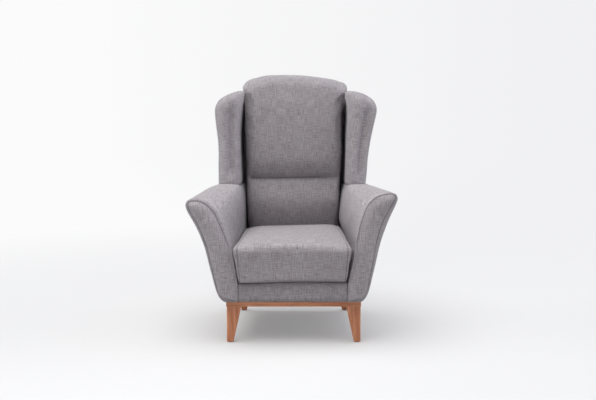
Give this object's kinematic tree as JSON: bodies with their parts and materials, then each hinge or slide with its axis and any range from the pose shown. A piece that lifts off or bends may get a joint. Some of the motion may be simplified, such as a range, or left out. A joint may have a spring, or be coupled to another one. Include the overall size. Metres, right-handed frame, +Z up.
{
  "type": "fireside chair",
  "caption": "Winged fireside chair with flared upholstered arms, a tucked back pad, a loose seat cushion and tapered wooden legs on a low plinth.",
  "frame": {"origin": "on the floor under the middle of the chair's box", "axes": "+Z up; the chair faces -Y; +X to the right as seen from its front"},
  "size_m": [0.8182, 0.7446, 1.097],
  "materials": {
    "upholstery": "woven grey cloth with flecks",
    "show_wood": "satin lacquered orange-brown hardwood",
    "frame_wood": "planed bare hardwood",
    "plywood": "sawn plywood",
    "foam": "cut upholstery foam",
    "lining": "black non-woven lining, felt and elastic webbing",
    "spring_steel": "zinc-plated wire and bolts",
    "black_plastic": "moulded black nylon"
  },
  "bodies": {
    "chair": {"arm_cover_left": "upholstery", "arm_cover_right": "upholstery", "arm_facing_left": "upholstery", "arm_facing_right": "upholstery", "arm_foam_left": "foam", "arm_foam_right": "foam", "arm_front_panel_left": "plywood", "arm_front_panel_right": "plywood", "arm_rail_left": "frame_wood", "arm_rail_right": "frame_wood", "back_lower_rail": "frame_wood", "back_pad_cover": "upholstery", "back_pad_foam": "foam", "back_post_left": "frame_wood", "back_post_right": "frame_wood", "back_top_rail": "frame_wood", "back_webbing_1": "lining", "back_webbing_2": "lining", "back_webbing_3": "lining", "corner_block_front_left": "frame_wood", "corner_block_front_right": "frame_wood", "corner_block_rear_left": "frame_wood", "corner_block_rear_right": "frame_wood", "dust_cover": "lining", "front_border": "upholstery", "glide_front_left": "black_plastic", "glide_front_right": "black_plastic", "glide_rear_left": "black_plastic", "glide_rear_right": "black_plastic", "leg_bolt_front_left": "spring_steel", "leg_bolt_front_right": "spring_steel", "leg_bolt_rear_left": "spring_steel", "leg_bolt_rear_right": "spring_steel", "leg_front_left": "show_wood", "leg_front_right": "show_wood", "leg_rear_left": "show_wood", "leg_rear_right": "show_wood", "outside_back": "upholstery", "plinth_front_rail": "show_wood", "plinth_rear_rail": "show_wood", "plinth_side_rail_left": "show_wood", "plinth_side_rail_right": "show_wood", "seat_deck_pad": "lining", "seat_rail_front": "frame_wood", "seat_rail_left": "frame_wood", "seat_rail_rear": "frame_wood", "seat_rail_right": "frame_wood", "seat_spring_1": "spring_steel", "seat_spring_2": "spring_steel", "seat_spring_3": "spring_steel", "seat_spring_4": "spring_steel", "wing_cover_left": "upholstery", "wing_cover_right": "upholstery", "wing_foam_left": "foam", "wing_foam_right": "foam", "wing_panel_left": "plywood", "wing_panel_right": "plywood"},
    "seat_cushion": {"seat_cushion_foam": "foam", "seat_cushion_cover": "upholstery", "seat_cushion_zip": "black_plastic"}
  },
  "joints": [
    {"name": "seat_cushion_lift", "type": "slide", "parent": "chair", "child": "seat_cushion", "axis": [0, -0.8191, 0.5736], "range_m": [0, 0.7]}
  ]
}
